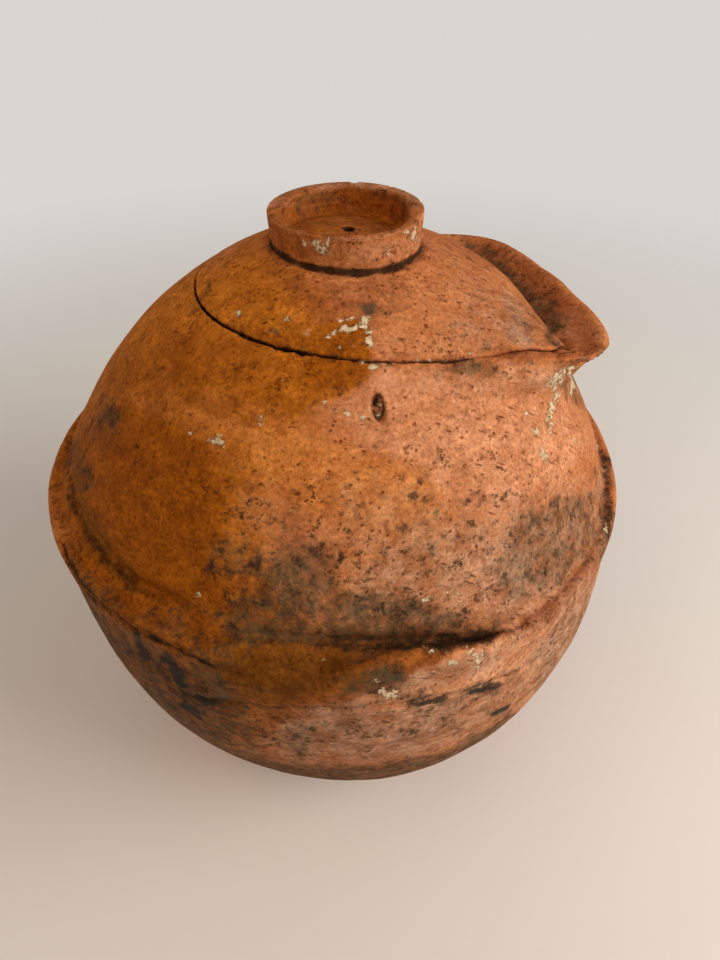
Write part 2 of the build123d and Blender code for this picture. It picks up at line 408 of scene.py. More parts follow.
def refine(piece, chosen):
    """Splits the faces whose first point is chosen, so that finer forms fit on them."""
    clay = bmesh.new()
    clay.from_mesh(piece.data)
    edges = {edge for face in clay.faces if chosen[face.verts[0].index] for edge in face.edges}
    bmesh.ops.subdivide_edges(clay, edges=list(edges), cuts=2, use_grid_fill=True)
    clay.to_mesh(piece.data)
    clay.free()


def shape_ring(piece):
    """Sharpens the ring's edge, slopes its front rim, chips it and cuts the channel at its foot."""
    points = points_of(piece)
    flat = points[:, :2] - ring_middle
    across = np.linalg.norm(flat, axis=1)
    outward = flat / np.maximum(across, 1 * mm)[:, None]
    top = step(points[:, 2], 420 * mm, 427 * mm)
    front = step(outward @ np.array((-0.24, -0.97)), -0.2, 0.8)
    points[:, 2] -= 4 * mm * top * front * (1 - step(across, 34 * mm, 43.5 * mm))
    off_corner = np.hypot(across - ring_radius, points[:, 2] - ring_top)
    corner = 1 - step(off_corner, 1.2 * mm, 3.4 * mm)
    points[:, :2] += outward * (0.8 * corner * (ring_radius - across))[:, None]
    points[:, 2] += 0.8 * corner * (ring_top - 0.3 * mm - points[:, 2])
    chips = step(waves(points, 7 * mm, 2.6), 0.3, 0.6) * step(across, 38 * mm, 44 * mm)
    points[:, 2] -= top * mm * (0.9 * chips + 0.25 + 0.25 * waves(points, 24 * mm, 5.3))
    channel = bump(across, channel_radius, 2.8 * mm) * (1 - step(points[:, 2], 414 * mm, 418 * mm))
    points[:, 2] -= 2.2 * mm * channel
    put_points(piece, points)


refine(lid_clay, points_of(lid_clay)[:, 2] > 425 * mm)
shape_ring(lid_clay)
print("ring", round(2 * ring_radius / mm), "mm across")

# %% [markdown]
# ## From the photograph to the clay
# A mark is easiest to name by its pixel in the photograph. A ray from the camera through that pixel
# meets the clay at the mark's real place, and from there on the mark belongs to the clay. The other way
# round, every point of the clay has a pixel, which lets a stain be outlined as it is seen.

# %% Rays and pixels
vent_pixel, pit_pixel = (348.6, 229), (378, 407)


def pixels_of(points):
    """Where points appear in the photograph."""
    local = (points - camera_place) @ camera_axes
    x = photo_width / 2 + focal_pixels * local[:, 0] / -local[:, 2]
    y = photo_height / 2 - focal_pixels * local[:, 1] / -local[:, 2]
    return np.stack([x, y], axis=1)


clay_trees = [surface_tree(pot_clay), surface_tree(lid_clay)]


def clay_at(x, y):
    """The place on the clay, and the way it faces, behind a pixel of the photograph."""
    pixel = ((x - photo_width / 2) / focal_pixels, (photo_height / 2 - y) / focal_pixels, -1)
    ray = Vector(camera_axes @ np.array(pixel)).normalized()
    hits = [tree.ray_cast(Vector(camera_place), ray) for tree in clay_trees]
    place, way, _, _ = min((h for h in hits if h[0]), key=lambda h: h[3])
    return np.array(place), np.array(way)


print("vent seen at", clay_at(*vent_pixel)[0].round(4))

# %% [markdown]
# ## Thumb and fingertip
# Two movements of the hand are enough for what the solids leave out. A thumb shifts a lump of clay a few
# millimetres and everything around it follows softly. A fingertip drawn along a line presses a groove, or,
# with a depth below nothing, leaves a ridge. Both find their place by pixels of the photograph.

# %% Shift and score


def shift_clay(piece, place, reach, shift, only=1.0):
    """Moves the clay around a place, all of it at the place and none a reach away."""
    points = points_of(piece)
    share = only * (1 - step(np.linalg.norm(points - place, axis=1), 0.15 * reach, reach))
    put_points(piece, points + share[:, None] * np.array(shift))


def way_to_line(points, places):
    """How far each point is from a line through places, and how far along it that is, 0 to 1."""
    nearest, at = np.full(len(points), np.inf), np.zeros(len(points))
    for number, (start, end) in enumerate(zip(places, places[1:])):
        run, offset = end - start, points - start
        along = np.clip(offset @ run / (run @ run), 0, 1)
        offset -= along[:, None] * run
        away = np.sqrt(np.einsum("ij,ij->i", offset, offset))
        at = np.where(away < nearest, (number + along) / (len(places) - 1), at)
        nearest = np.minimum(nearest, away)
    return nearest, at


def score(piece, route, half_wide, depth, fade=0.18):
    """Draws a groove along a route of pixels, shallower towards both ends."""
    points, way = points_of(piece), facing_of(piece)
    places = np.array([clay_at(x, y)[0] for x, y in route])
    away, at = way_to_line(points, places)
    share = bump(away, 0, half_wide) * step(at, 0, fade) * (1 - step(at, 1 - fade, 1))
    put_points(piece, points - way * (depth * share)[:, None])


near_seam = 1 - step(distance_to(pot_clay, "lid_dome"), 3 * mm, 13 * mm)
underside = step(-facing_of(pot_clay)[:, 2], -0.35, 0.3)
print("points near the seam:", int((near_seam > 0.5).sum()))

# %% Move the vent, the lip and the lid's front
vent_from = np.array((*ring_middle, 418 * mm))
vent_to = clay_at(*vent_pixel)[0]
shift_clay(lid_clay, vent_from, 24 * mm, (*(vent_to - vent_from)[:2], 0))
for x, y, reach, shift, only in (
    (592, 356, 24, (-1.5, 0.5, 3), 1.0),
    (592, 356, 30, (0, 0, 4.5), underside),
    (572, 304, 38, (0, 0, 2.5), 1 - near_seam),
    (546, 284, 28, (0, 0, 3), 1 - near_seam),
    (578, 374, 20, (0, 0, 3.5), 1.0),
    (586, 350, 20, (0, -1, -4.5), 1 - underside),
):
    shift_clay(pot_clay, clay_at(x, y)[0], reach * mm, np.array(shift) * mm, only)
for x, y, outward in ((480, 364, 3.0), (508, 367, 4.5), (536, 373, 4.5)):
    place, way = clay_at(x, y)
    shift_clay(pot_clay, place, 20 * mm, way * outward * mm)
for x, y, reach, shift in (
    (546, 343, 42, (6, -1, 0)),
    (560, 340, 20, (-1, -5.5, -4)),
    (524, 354, 22, (0, 1.5, 2.5)),
    (482, 257, 32, (0, -6, -4)),
):
    place = clay_at(x, y)[0]
    shift_clay(lid_clay, place, reach * mm, np.array(shift) * mm)
    shift_clay(pot_clay, place, reach * mm, np.array(shift) * mm, near_seam)
clay_trees[:] = [surface_tree(pot_clay), surface_tree(lid_clay)]
print("vent moved by", (vent_to - vent_from)[:2].round(4))

# %% [markdown]
# ## Folds round the lug and the belly coil
# The grip lug is a roll of clay pressed on over the belly coil. The fingers that joined it left a deep
# crease above its rim and a thin ledge where its lower edge was wiped onto the bowl. At the left the
# belly coil stands clear of the wall, with a finger's groove above it and a sharp undercut below.

# %% Score the folds
crease = [(205, 640), (245, 641), (290, 643), (330, 645), (370, 646), (410, 645), (450, 643), (480, 640)]
rim_crest = [(345, 674), (375, 664), (410, 655), (450, 650), (480, 647)]
wiped_edge = [(165, 690), (205, 699), (250, 705), (300, 709), (350, 709), (400, 704), (440, 696), (480, 686)]
wiped_edge += [(520, 668)]
coil_groove = [(70, 430), (68, 470), (73, 506), (88, 533), (109, 562), (136, 587), (168, 603), (210, 622)]
undercut = [(58, 520), (66, 556), (84, 590), (112, 615), (142, 633), (170, 648), (195, 659), (222, 672)]
lip_edge = [(500, 359), (525, 357), (550, 357), (578, 356), (601, 351)]
lip_neck = [(505, 370), (535, 371), (560, 371), (578, 366)]
far_undercut = [(530, 634), (560, 612), (585, 585), (602, 555), (610, 520), (612, 485)]
wiped_ridge = [(x, y - 7) for x, y in wiped_edge]
undercut_ridge = [(x + 6, y - 9) for x, y in undercut]
for route, half_wide, depth, *fade in (
    (crease, 8, 4),
    (crease, 3.5, 1.5),
    (rim_crest, 9, -2.2, 0.3),
    (wiped_ridge, 7, -1.6),
    (wiped_edge, 3, 2.2),
    (coil_groove, 10, 5),
    (undercut_ridge, 8, -1.5),
    (undercut, 4, 3),
    (far_undercut, 7, 1.6),
    (lip_edge, 5, -2.8),
    (lip_neck, 6, 2.8),
):
    score(pot_clay, route, half_wide * mm, depth * mm, *fade)
for x, y, reach, rounds in ((262, 672, 42, 60), (508, 634, 26, 40), (225, 655, 20, 30)):
    away = np.linalg.norm(points_of(pot_clay) - clay_at(x, y)[0], axis=1)
    soften(pot_clay, 0.6 * (1 - step(away, 0.3 * reach * mm, reach * mm)), rounds)
print("folds scored")

# %% [markdown]
# ## A pit and a worn seam
# Something burnt out of the wall, a seed or a bit of straw, and left an oval pit under the seam. The
# edges of lid and mouth rubbed against each other for years, and crumbs broke off them. Both are
# pressed into the mesh, because they are deep enough to cast shadows.

# %% Press the pit


def press(piece, x, y, half_wide, half_high, depth):
    """Presses an oval hollow into the clay behind a pixel, upright as the camera sees it."""
    points, (place, way) = points_of(piece), clay_at(x, y)
    side = np.cross(way, (0, 0, 1.0))
    side /= np.linalg.norm(side)
    up = np.cross(side, way)
    offset = points - place
    near = np.abs(offset @ way) < 3 * depth
    oval = np.hypot(offset @ side / half_wide, offset @ up / half_high)
    share = (1 - step(oval, 0.6, 1.05)) * near
    put_points(piece, points - way * (depth * share)[:, None])


for x, y, reach in ((*pit_pixel, 16), (562, 385, 24)):
    refine(pot_clay, np.linalg.norm(points_of(pot_clay) - clay_at(x, y)[0], axis=1) < reach * mm)
for x, y, half_wide, half_high, depth in (
    (390, 392, 9, 5, 0.6),
    (*pit_pixel, 4.4, 9.5, 3.0),
    (376.5, 399.5, 2.4, 3.2, 1.5),
    (379, 415, 2.2, 3.4, 1.2),
):
    press(pot_clay, x, y, half_wide * mm, half_high * mm, depth * mm)
print("pit pressed")

# %% Break crumbs off the seam


def crumble(piece, other_nodes, reach, depth, size, seed):
    """Wears the edges that lie near the other piece, in crumbs of a size."""
    points, way = points_of(piece), facing_of(piece)
    near = 1 - step(distance_to(piece, *other_nodes), 1.0 * mm, reach)
    left = 0.35 + 0.65 * (1 - step(points[:, 0], -60 * mm, 0))
    crumbs = step(waves(points, size, seed), 0.1, 0.5)
    put_points(piece, points - way * (depth * left * near * crumbs)[:, None])


crumble(pot_clay, ["lid_dome"], reach=3.4 * mm, depth=1.5 * mm, size=6 * mm, seed=4.4)
over_seam = ["upper_dome", "pouring_lip"]
crumble(lid_clay, over_seam, reach=3.0 * mm, depth=1.2 * mm, size=5 * mm, seed=8.8)
print("seam worn")

# %% [markdown]
# ## The steam vent
# The vent was poked through the wet lid with a stick, a little off the ring's middle. It is cut with a
# boolean after the remesh, because a remesh blurs small holes.

# %% Bore the vent


def bore(piece, place, radius, depth):
    """Cuts a slightly uneven round hole straight down."""
    stick = bmesh.new()
    bmesh.ops.create_cone(
        stick, cap_ends=True, segments=14, radius1=radius, radius2=radius * 1.1, depth=depth
    )
    for point in stick.verts:
        point.co += Vector(place) + noise.noise_vector(point.co * 900) * radius * 0.15
    shape = bpy.data.meshes.new("stick")
    stick.to_mesh(shape)
    stick.free()
    cutter = bpy.data.objects.new("stick", shape)
    scene.collection.objects.link(cutter)
    cut = piece.modifiers.new("bore", "BOOLEAN")
    cut.object, cut.operation, cut.solver = cutter, "DIFFERENCE", "EXACT"
    seen = piece.evaluated_get(bpy.context.evaluated_depsgraph_get())
    piece.data = bpy.data.meshes.new_from_object(seen)
    piece.modifiers.clear()
    bpy.data.objects.remove(cutter)


vent_radius = 3.1 * mm
bore(lid_clay, vent_to, vent_radius, depth=60 * mm)
print("vent bored at", vent_to.round(4))

# %% [markdown]
# ## Stains, soot and lime
# The pot stood in smoke, was handled and wetted, and caught drips of whitewash. Each kind of mark is
# kept as one number per point of the clay, from 0 to 1, under its own name. A mark is outlined by its
# pixels in the photograph, with edges that wander, and only on the side that the photograph shows. The
# far side gets marks of the same kinds where smoke and hands would leave them. Some kinds also carry
# painted shade and painted highlights, which are named where they are laid.

# %% A page of marks for each skin


class Marks:
    """The marks on one skin, one number per point for each kind."""

    def __init__(self, piece):
        self.piece = piece
        self.points = points_of(piece)
        toward = camera_place - self.points
        toward /= np.linalg.norm(toward, axis=1)[:, None]
        self.shown = step((toward * facing_of(piece)).sum(axis=1), -0.14, 0.04)
        self.exact = pixels_of(self.points)
        self.broad = waves(self.points, 26 * mm, 5.5)
        self.fine = waves(self.points, 9 * mm, 2.2)
        aside = 9 * self.broad + 5 * self.fine
        upward = 7 * waves(self.points, 22 * mm, 9.1) + 4 * waves(self.points, 7 * mm, 6.6)
        self.wander = np.stack([aside, upward], axis=1)
        self.kinds = {}

    def lay(self, kind, share, strength=1.0):
        """Adds a mark over what is there, never past 1."""
        before = self.kinds.get(kind, np.zeros(len(self.points)))
        self.kinds[kind] = 1 - (1 - before) * (1 - strength * share)

    def keep(self):
        """Writes every kind of mark to the mesh, where the material can read it."""
        for kind, share in self.kinds.items():
            layer = self.piece.data.attributes.new(kind, "FLOAT", "POINT")
            layer.data.foreach_set("value", share.astype(np.float32))


pages = [Marks(pot_clay), Marks(lid_clay)]
pot_marks, lid_marks = pages
print("pages of marks:", [len(p.points) for p in pages], "points")

# %% Outline a mark in the photograph


def inside(pixels, outline, soft):
    """1 inside a closed outline of pixels, 0 outside, with an edge a number of pixels soft."""
    x, y = pixels[:, 0], pixels[:, 1]
    closed = [*outline, outline[0]]
    odd = np.zeros(len(x), bool)
    for (x0, y0), (x1, y1) in zip(closed, closed[1:]):
        if y0 != y1:
            odd ^= ((y0 > y) != (y1 > y)) & (x < x0 + (y - y0) * (x1 - x0) / (y1 - y0))
    near, _ = way_to_line(pixels, np.array(closed, float))
    return step(np.where(odd, near, -near), -soft / 2, soft / 2)


def patch(kind, soft, strength, outline, on=pages):
    """Lays a patch inside an outline of photograph pixels."""
    for page in on:
        page.lay(kind, inside(page.exact + page.wander, outline, soft) * page.shown, strength)


def patches(kind, *rows):
    """Lays patches of one kind. A row gives the softness, the strength and the outline's corners."""
    for soft, strength, *outline in rows:
        patch(kind, soft, strength, outline)


def spot(kind, x, y, wide, high, strength, ragged=0.35):
    """Lays a ragged spot of that many pixels across and high."""
    for page in pages:
        pixels = page.exact + page.wander * min(1, max(wide, high) / 60)
        away = np.hypot((pixels[:, 0] - x) / (wide / 2), (pixels[:, 1] - y) / (high / 2))
        away += ragged * page.fine + 0.5 * ragged * page.broad
        page.lay(kind, (1 - step(away, 0.3, 1.5)) * page.shown, strength)


def trail(kind, route, wide, strength):
    """Lays a band along a route of photograph pixels."""
    for page in pages:
        near, _ = way_to_line(page.exact + 0.25 * page.wander, np.array(route, float))
        page.lay(kind, (1 - step(near, 0.2 * wide, wide)) * page.shown, strength)


print("patches, spots and trails can be laid on", len(pages), "pages")

# %% [markdown]
# ## Where the marks are
# Old fat and water soaked the left of the pot a deep amber, with a sharp edge down the lid and shoulder.
# The left is also painted darker than the stain alone, as painted shade on the side that faces away from
# the main lamp, above all low on the bowl.
# Right of it the clay is pale and pinkish. The lists below give pixels of the photograph, and each patch
# has its own softness: a tide mark is sharp, and a flush from the fire is a hand wide.

# %% Amber and gold clay
patches(
    "amber",
    (90, 0.95, (40, 420), (130, 290), (260, 230), (330, 300), (310, 420), (270, 500), (280, 620),
     (300, 720), (200, 760), (60, 640)),
    (8, 0.9, (300, 328), (335, 330), (352, 322), (371, 330), (372, 378), (346, 394), (318, 404), (290, 418),
     (240, 400), (230, 345)),
)
patches(
    "gold",
    (56, 0.85, (240, 400), (300, 420), (340, 440), (420, 470), (440, 500), (380, 520), (300, 520),
     (250, 490), (236, 450), (180, 420), (130, 400), (160, 380)),
    (40, 0.5, (380, 470), (460, 480), (480, 600), (340, 640), (320, 560)),
)
trail("gold", [(112, 384), (140, 402), (172, 420), (206, 440), (240, 466)], 9, 0.5)
print("amber and gold clay laid")

# %% Soaked clay and painted shade
patches(
    "soak_and_shade",
    (7, 0.5, (200, 318), (240, 338), (300, 357), (370, 359), (371, 379), (346, 392), (318, 404), (286, 418),
     (240, 428), (180, 402), (160, 350)),
    (14, 0.6, (330, 345), (371, 330), (373, 378), (346, 388), (310, 392), (300, 360)),
    (10, 0.6, (290, 330), (352, 322), (371, 328), (373, 360), (300, 357), (250, 340), (215, 318)),
    (30, 0.5, (105, 350), (180, 330), (215, 380), (180, 410), (130, 396), (100, 410)),
    (70, 0.9, (80, 420), (128, 392), (175, 415), (214, 446), (236, 490), (230, 530), (220, 580), (208, 620),
     (165, 620), (120, 600), (70, 540), (50, 470), (66, 430)),
    (12, 0.5, (96, 432), (128, 406), (168, 424), (204, 447), (214, 470), (180, 560), (100, 540)),
    (40, 0.6, (150, 590), (260, 600), (340, 636), (300, 650), (215, 660), (150, 640), (120, 610)),
    (30, 0.8, (70, 580), (150, 640), (222, 672), (350, 700), (300, 712), (250, 750), (190, 740),
     (110, 670)),
    (20, 0.4, (280, 312), (345, 306), (372, 322), (350, 345), (290, 345)),
    (30, 0.7, (180, 560), (260, 560), (290, 620), (240, 642), (200, 690), (100, 640), (60, 560), (70, 520)),
    (12, 0.9, (288, 214), (330, 203), (400, 205), (410, 218), (370, 234), (310, 236)),
    (6, 0.8, (283, 206), (300, 192), (345, 186), (395, 192), (412, 206), (400, 214), (345, 200),
     (300, 206)),
    # Painted shade on the shelf of the grip lug, which lies in the lug's shadow.
    (30, 0.85, (200, 640), (330, 646), (400, 650), (345, 678), (320, 702), (225, 702), (190, 670)),
    # Painted shade in and above the lug's crease.
    (14, 0.7, (320, 622), (420, 628), (500, 628), (480, 650), (400, 658), (330, 655)),
    (30, 0.5, (120, 630), (170, 655), (215, 690), (210, 740), (150, 700)),
    # Painted shade on the lug's shelf.
    (16, 0.9, (300, 648), (345, 664), (400, 652), (450, 645), (440, 660), (390, 686), (330, 705),
     (280, 700)),
    (8, 0.5, (266, 205), (300, 184), (312, 196), (290, 214), (300, 232), (300, 262), (272, 245)),
    # Painted shade in the trough between the lug's crease and its crest.
    (9, 0.75, (240, 640), (340, 646), (480, 642), (500, 642), (400, 653), (345, 668), (260, 660)),
    (8, 0.4, (268, 205), (300, 184), (400, 184), (424, 206), (420, 250), (370, 268), (300, 262),
     (270, 240)),
)
print("soaked clay laid")

# %% Pale clay and painted highlights
below_lip = [(500, 362), (570, 362), (566, 380), (540, 392), (505, 384)]
patches(
    "pale",
    (44, 0.8, (378, 366), (366, 384), (340, 404), (350, 440), (430, 476), (500, 486), (552, 476),
     (590, 450), (584, 410), (572, 392), (540, 384), (500, 368), (450, 370)),
    (40, 0.7, (440, 420), (560, 410), (592, 440), (556, 476), (500, 488), (430, 480)),
    (16, 0.4, (376, 330), (440, 338), (500, 345), (480, 356), (376, 356)),
    (30, 0.3, (430, 270), (470, 270), (520, 310), (540, 345), (440, 350), (400, 310)),
    (10, 0.7, (345, 246), (380, 240), (424, 230), (422, 252), (372, 266), (345, 264)),
    (22, 0.75, (400, 658), (470, 650), (540, 630), (592, 585), (560, 640), (500, 680), (410, 692)),
    (30, 0.5, (455, 500), (520, 500), (520, 610), (455, 620)),
    # Painted highlight along the lug's crest.
    (3, 0.8, (352, 667), (400, 653), (450, 646), (500, 641), (500, 646), (450, 651), (400, 659),
     (356, 672)),
    # Painted highlight along the ledge at the lug's lower edge.
    (3, 0.7, (220, 699), (300, 703), (350, 704), (350, 707), (300, 706), (220, 702)),
    (14, 0.6, (500, 600), (560, 580), (580, 560), (560, 600), (520, 625)),
    # A painted highlight band on the belly at the right.
    (14, 0.6, (430, 478), (500, 484), (560, 476), (590, 470), (560, 500), (500, 508), (430, 505)),
    (14, 0.9, (395, 690), (450, 684), (500, 676), (490, 700), (440, 712), (400, 714)),
    (20, 0.9, (440, 440), (530, 430), (580, 450), (560, 480), (440, 476)),
    (20, 0.7, (450, 560), (530, 560), (540, 596), (450, 600)),
    (16, 0.8, (450, 660), (540, 640), (560, 650), (520, 684), (460, 688)),
    (12, 0.7, *below_lip),
    (12, 0.5, (388, 384), (424, 384), (424, 424), (390, 424)),
)
print("pale clay laid")

# %% Dusty clay
belly_left = [(236, 470), (300, 500), (330, 560), (300, 620), (230, 610), (220, 540)]
patches(
    "dusty",
    (30, 0.7, (240, 712), (400, 708), (500, 676), (570, 610), (604, 560), (560, 680), (480, 740),
     (400, 765), (300, 765)),
    (20, 0.7, (560, 620), (604, 560), (596, 620), (560, 690), (520, 720)),
    (24, 0.4, (120, 640), (200, 700), (260, 750), (200, 745), (130, 690)),
    (30, 0.45, (380, 550), (470, 520), (540, 560), (520, 622), (400, 636), (340, 625)),
    (50, 0.45, (330, 480), (400, 470), (500, 500), (520, 600), (420, 610), (330, 600)),
    (14, 0.7, (505, 628), (545, 600), (585, 570), (590, 590), (550, 625), (515, 650)),
    (20, 0.35, (240, 700), (340, 706), (440, 705), (460, 740), (300, 765), (230, 740)),
    (14, 0.4, (545, 300), (580, 310), (606, 340), (560, 348)),
    (30, 0.3, (380, 365), (500, 366), (500, 410), (300, 410), (300, 395)),
    (12, 0.4, *below_lip),
    (50, 0.65, (500, 500), (596, 476), (606, 540), (560, 606), (510, 606)),
    (40, 0.35, *belly_left),
    (30, 0.3, (425, 262), (470, 262), (500, 295), (440, 300)),
    (24, 0.5, (470, 292), (520, 296), (556, 335), (545, 348), (480, 350), (440, 330)),
    (10, 0.55, (500, 292), (520, 300), (532, 345), (516, 346)),
    (16, 0.7, (320, 696), (400, 668), (470, 655), (520, 640), (500, 668), (440, 688), (340, 712)),
    (8, 0.6, (594, 430), (616, 470), (618, 520), (600, 564), (590, 560), (602, 500), (594, 460)),
    (4, 0.7, (262, 205), (300, 180), (400, 180), (428, 206), (405, 208), (345, 188), (290, 205)),
    (8, 0.4, (310, 224), (345, 216), (395, 222), (380, 234), (345, 236), (318, 232)),
)
print("dusty clay laid")

# %% [markdown]
# ## Smoke, soot and painted shade
# Smoke from the hearth lies in soft grey veils: over the grip lug, at the lip side of the belly, and in
# long dark licks up the left of the bowl. Where the flame touched, soot stuck in small clots. The same
# veils also paint shade: under the belly above the lug's crease, in the lug's trough, on the lip's inner
# face along the lid's edge, along the foot, and low on the left of the bowl.

# %% Veils of smoke and painted shade
before_ring = [(268, 262), (300, 272), (345, 276), (400, 270), (420, 290), (400, 320), (330, 316)]
before_ring += [(280, 300)]
patches(
    "smoke_and_shade",
    (36, 0.85, (264, 552), (300, 542), (334, 554), (338, 594), (300, 608), (260, 600)),
    # Painted shade under the belly, above the lug's crease, over smoke.
    (20, 0.55, (330, 600), (400, 600), (470, 612), (522, 608), (508, 634), (440, 642), (340, 642),
     (240, 636), (215, 610), (262, 596)),
    # Painted shade in the lug's crease.
    (16, 0.5, (230, 622), (330, 628), (440, 630), (512, 620), (508, 636), (440, 645), (330, 646),
     (220, 642)),
    (36, 0.65, (490, 570), (512, 520), (558, 492), (598, 486), (608, 520), (592, 564), (560, 592),
     (516, 604)),
    # Painted shade under the belly, over smoke.
    (16, 0.85, (326, 604), (352, 594), (430, 602), (456, 620), (440, 640), (326, 640)),
    (12, 0.5, (335, 672), (365, 662), (402, 660), (410, 680), (380, 694), (340, 696)),
    (10, 0.5, (205, 546), (230, 538), (262, 544), (258, 572), (222, 584), (204, 576)),
    (8, 0.6, (328, 590), (352, 590), (360, 618), (340, 628), (326, 618)),
    (24, 0.25, *before_ring),
    (14, 0.25, (455, 330), (500, 326), (520, 345), (480, 354), (450, 350)),
    (30, 0.4, (400, 496), (446, 500), (444, 560), (412, 566)),
    (40, 0.4, (230, 720), (330, 715), (420, 712), (470, 690), (500, 690), (470, 730), (380, 756),
     (270, 752)),
    # Painted shade low on the left of the bowl, over the smoke there.
    (30, 0.6, (72, 580), (110, 625), (150, 650), (190, 672), (240, 700), (260, 750), (200, 740), (140, 690),
     (90, 640)),
    (14, 0.45, (598, 430), (616, 470), (618, 520), (606, 560), (596, 560), (606, 500), (598, 460)),
    (26, 0.35, (430, 240), (500, 240), (545, 270), (575, 310), (560, 330), (520, 280), (470, 256)),
    # Painted shade in the lug's trough.
    (9, 0.5, (330, 646), (400, 646), (480, 643), (500, 641), (400, 652), (345, 662)),
    # Painted shade low on the left of the bowl, over smoke.
    (26, 0.45, (60, 560), (110, 590), (200, 640), (240, 660), (220, 700), (120, 650), (70, 600)),
    (9, 0.55, (552, 362), (575, 360), (592, 392), (585, 410), (560, 396), (545, 378)),
    (20, 0.5, (96, 380), (122, 392), (122, 430), (100, 450), (84, 430)),
    (14, 0.35, (300, 712), (340, 690), (400, 672), (440, 690), (400, 708), (330, 716)),
    (20, 0.4, (540, 640), (590, 590), (606, 560), (596, 620), (560, 680), (530, 700)),
    (7, 0.5, (284, 206), (300, 194), (335, 188), (345, 200), (320, 214), (300, 222), (288, 214)),
    (14, 0.35, (500, 300), (540, 312), (560, 345), (520, 345), (500, 325)),
    (30, 0.3, (44, 430), (66, 440), (72, 500), (90, 560), (120, 600), (90, 620), (56, 570)),
    (30, 0.4, (150, 600), (260, 600), (340, 636), (300, 650), (215, 660), (150, 640)),
    # Painted shade low on the left of the bowl, over smoke.
    (30, 0.35, (70, 590), (120, 630), (170, 655), (250, 710), (280, 770), (200, 750), (110, 680)),
    (40, 0.25, *belly_left),
    (30, 0.2, (430, 360), (500, 366), (560, 380), (584, 420), (540, 440), (480, 400), (430, 390)),
)
# Painted shade on the lip's inner face along the lid's edge, where the lip's floor lies below the lid.
patch("smoke_and_shade", 16, 0.85, [(460, 240), (481, 247), (506, 261), (531, 281), (555, 307), (568, 338), (545, 326),
                          (520, 304), (496, 286), (466, 266)], [pot_marks])
print("veils of smoke laid")

# %% Spots and licks of smoke
for x, y, wide, high, strength in (
    (368, 309, 20, 12, 0.75), (380, 315, 30, 6, 0.5), (405, 320, 30, 7, 0.4), (392, 364, 16, 14, 0.6),
    # The spots at (551, 328) and (556, 342) are painted shade under the step at the lid's tip.
    (470, 366, 50, 18, 0.55), (440, 374, 40, 18, 0.35), (551, 328, 13, 26, 1.0), (556, 342, 16, 8, 0.9),
    (505, 352, 60, 6, 0.6), (384, 674, 36, 26, 0.9), (430, 701, 52, 13, 0.95), (482, 692, 44, 14, 0.9),
    (500, 712, 36, 10, 0.85), (112, 415, 20, 20, 0.8), (206, 702, 26, 10, 0.9), (300, 742, 30, 44, 0.55),
    (345, 728, 30, 12, 0.5), (88, 478, 14, 30, 0.6), (466, 369, 34, 12, 0.6), (520, 262, 16, 12, 0.4),
    (260, 690, 60, 14, 0.4), (210, 290, 10, 30, 0.5), (232, 262, 18, 8, 0.4), (275, 330, 20, 8, 0.6),
    (195, 310, 12, 20, 0.6),
):
    spot("smoke_and_shade", x, y, wide, high, strength)
# Painted shadow along the foot of the bowl as the camera sees it, over smoke.
trail("smoke_and_shade", [(150, 698), (190, 735), (240, 761), (300, 773), (380, 774), (450, 760), (512, 724)], 16, 1.0)
trail("smoke_and_shade", [(56, 560), (76, 595), (110, 640)], 8, 0.5)
for route, wide in (
    ([(136, 634), (140, 644), (146, 660)], 7),
    ([(165, 656), (171, 667), (182, 686)], 10),
    ([(184, 704), (192, 709), (201, 716)], 6),
    ([(196, 698), (212, 704)], 7),
    ([(416, 704), (432, 701), (446, 697)], 6),
    ([(470, 694), (484, 690), (498, 684)], 6),
    ([(490, 716), (508, 706)], 4),
):
    trail("lick", route, wide, 0.85)
print("spots and licks of smoke laid")

